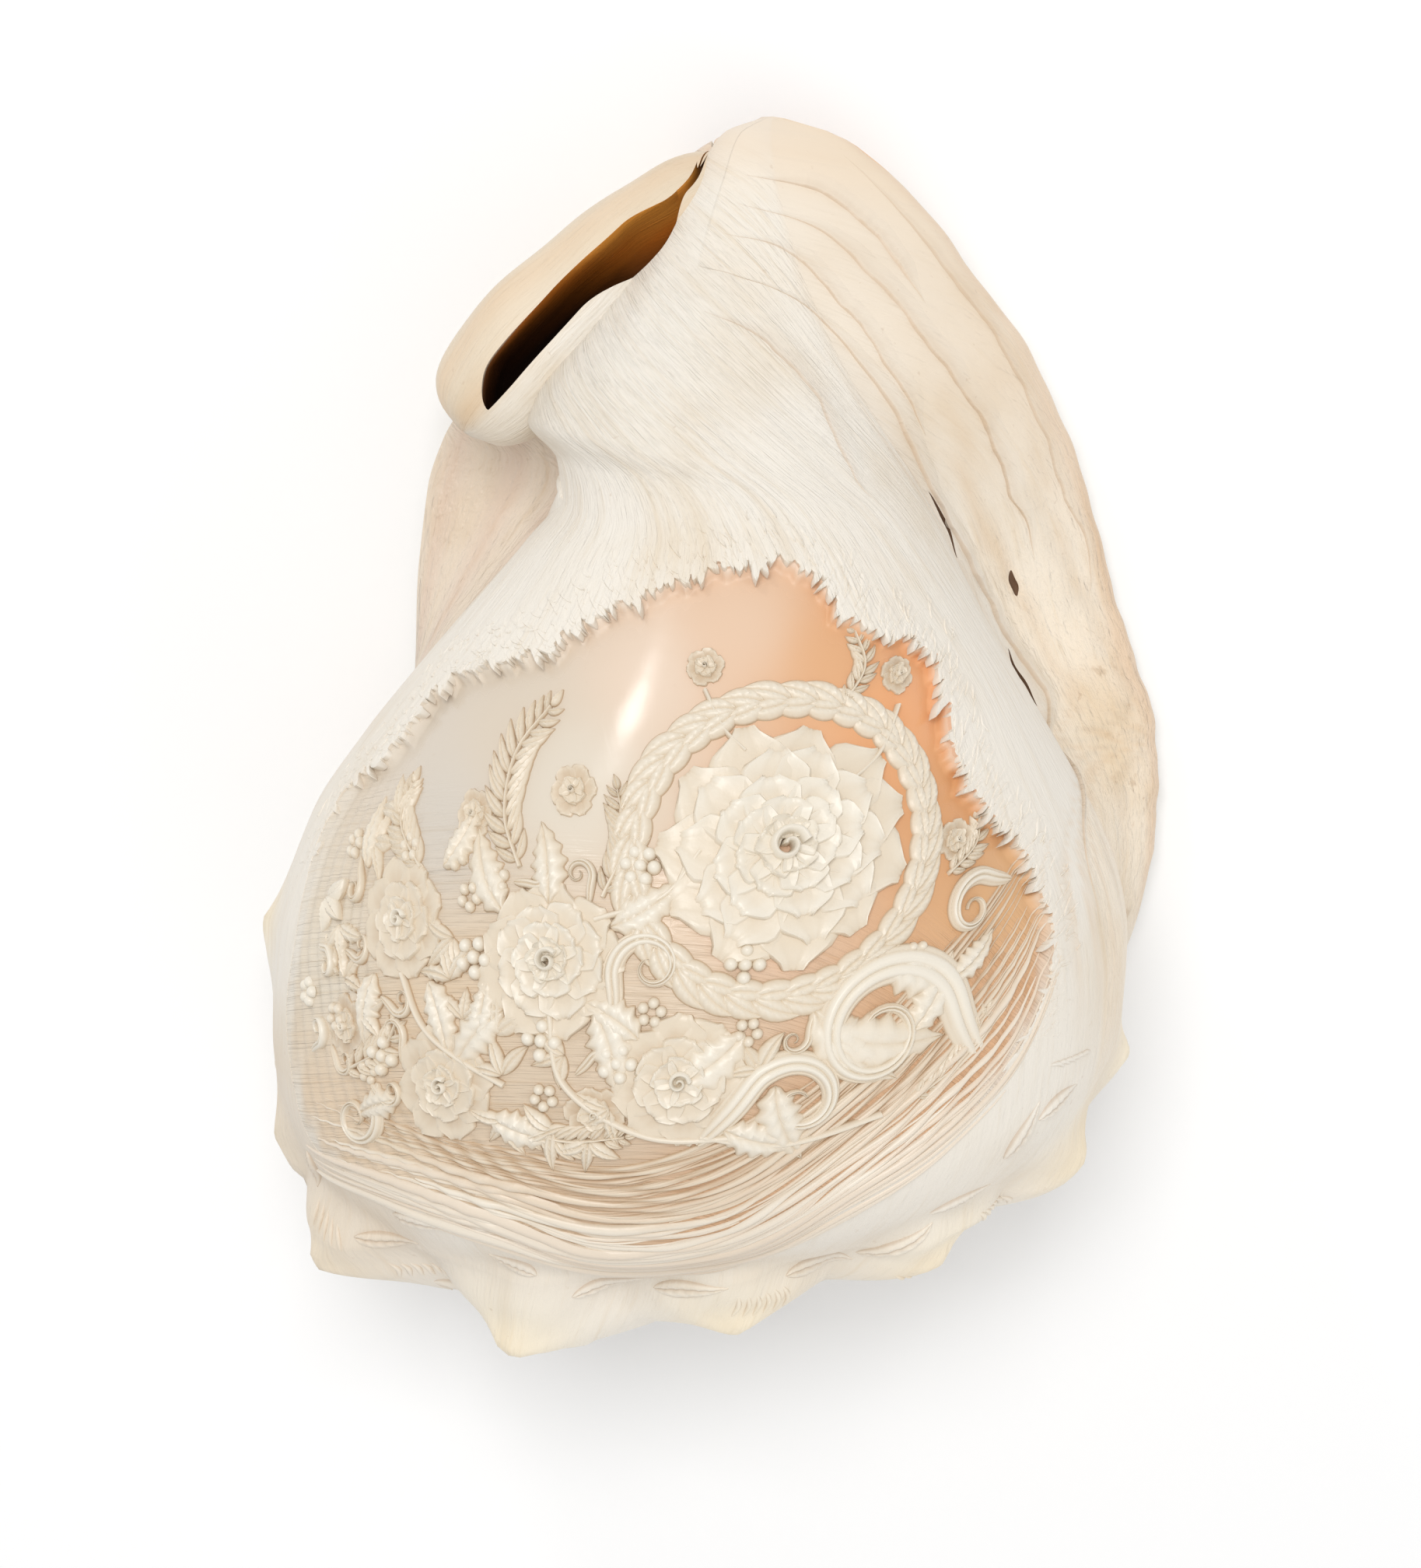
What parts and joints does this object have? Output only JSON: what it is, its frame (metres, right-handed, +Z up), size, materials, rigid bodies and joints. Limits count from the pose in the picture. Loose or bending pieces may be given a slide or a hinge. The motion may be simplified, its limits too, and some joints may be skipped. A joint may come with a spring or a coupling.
{
  "type": "carved helmet shell",
  "caption": "Large helmet conch shell lying on its aperture, with knobs round the shoulder, a thick outer lip, a curled siphonal canal and a back carved as a cameo panel.",
  "frame": {"origin": "middle of the part's bounding box in X and Y, at the level of the surface the shell lies on", "axes": "+Z up from that surface; +Y along the shell from the spire and its knobs to the siphonal canal; +X towards the outer lip"},
  "size_m": [0.1674, 0.2278, 0.1209],
  "materials": {
    "shell": "satin carved shell, polished in the cut panel"
  },
  "bodies": {
    "root": {"shell": "shell"}
  },
  "joints": []
}
